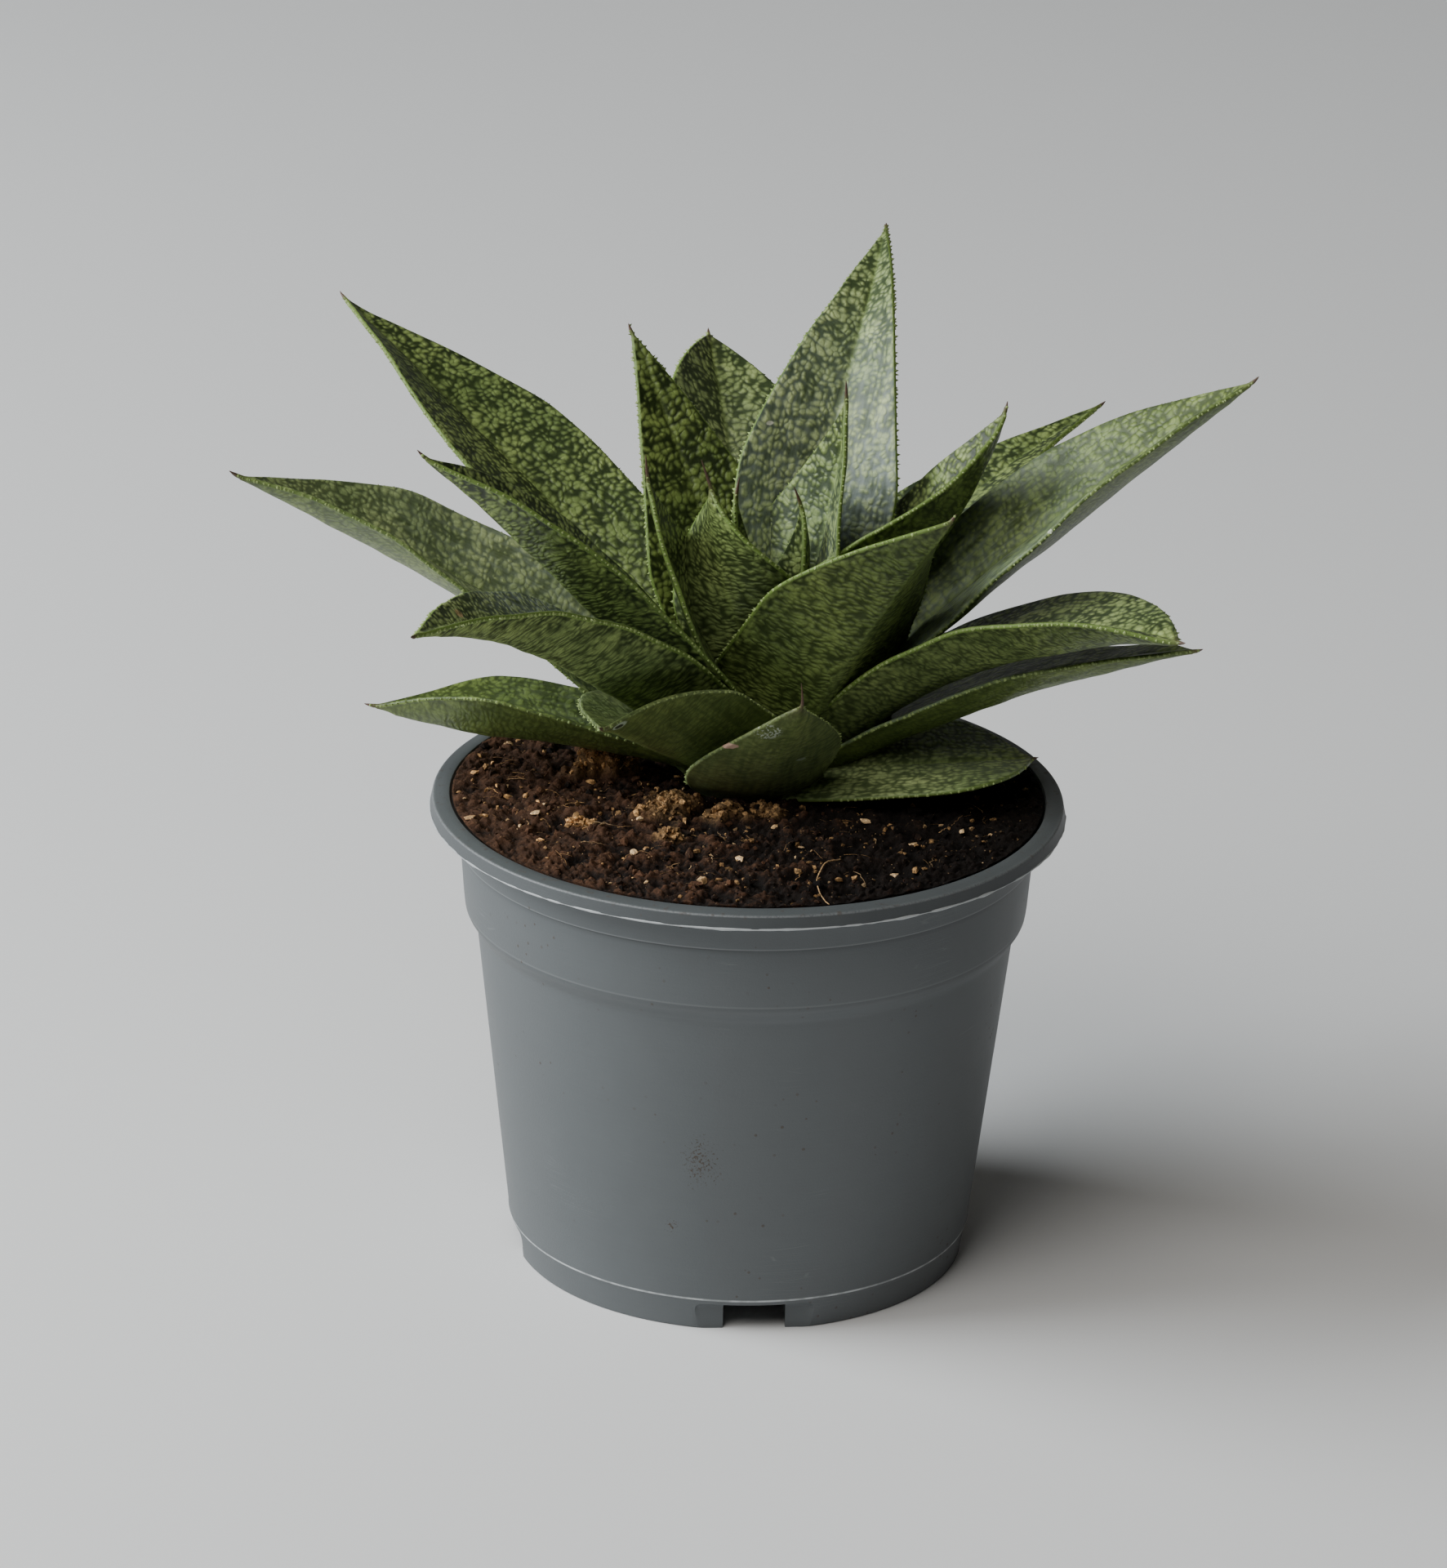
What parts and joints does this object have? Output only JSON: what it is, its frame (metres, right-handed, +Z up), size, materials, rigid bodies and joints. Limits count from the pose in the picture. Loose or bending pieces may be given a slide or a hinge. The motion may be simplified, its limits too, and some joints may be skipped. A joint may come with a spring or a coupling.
{
  "type": "potted gasteria",
  "caption": "Succulent rosette of thick, keeled, pale-spotted leaves on a short stem, rooted in soil in a round plastic grower's pot with a lip and notched foot.",
  "frame": {"origin": "centre of the model's outline seen from above, on the surface that the pot stands on", "axes": "+Z up, -Y towards the side that the picture shows, +X to that side's right"},
  "size_m": [0.1914, 0.1814, 0.1829],
  "materials": {
    "pot_plastic": "moulded, matte, bluish grey",
    "soil": null,
    "stem": "living plant tissue, dull; stands in for a fleshy stem",
    "leaf": "living leaf, waxy dark green with pale raised spots"
  },
  "bodies": {
    "root": {"pot": "pot_plastic", "soil": "soil", "stem": "stem", "leaf_inner_bud_right": "leaf", "leaf_inner_bud": "leaf", "leaf_inner_spear": "leaf", "leaf_right_inner": "leaf", "leaf_inner_keeled": "leaf", "leaf_back_left": "leaf", "leaf_back_broad": "leaf", "leaf_inner_left": "leaf", "leaf_back_tall": "leaf", "leaf_right_back": "leaf", "leaf_left_high": "leaf", "leaf_rear_upper": "leaf", "leaf_front_upright": "leaf", "leaf_right_long": "leaf", "leaf_left_middle": "leaf", "leaf_right_drooping": "leaf", "leaf_left_front": "leaf", "leaf_rear_low": "leaf", "leaf_left_long": "leaf", "leaf_front_left_short": "leaf", "leaf_right_under": "leaf", "leaf_rear_right_low": "leaf", "leaf_front_stub": "leaf", "leaf_right_low": "leaf", "leaf_rear_left_low": "leaf", "leaf_left_low": "leaf"}
  },
  "joints": []
}
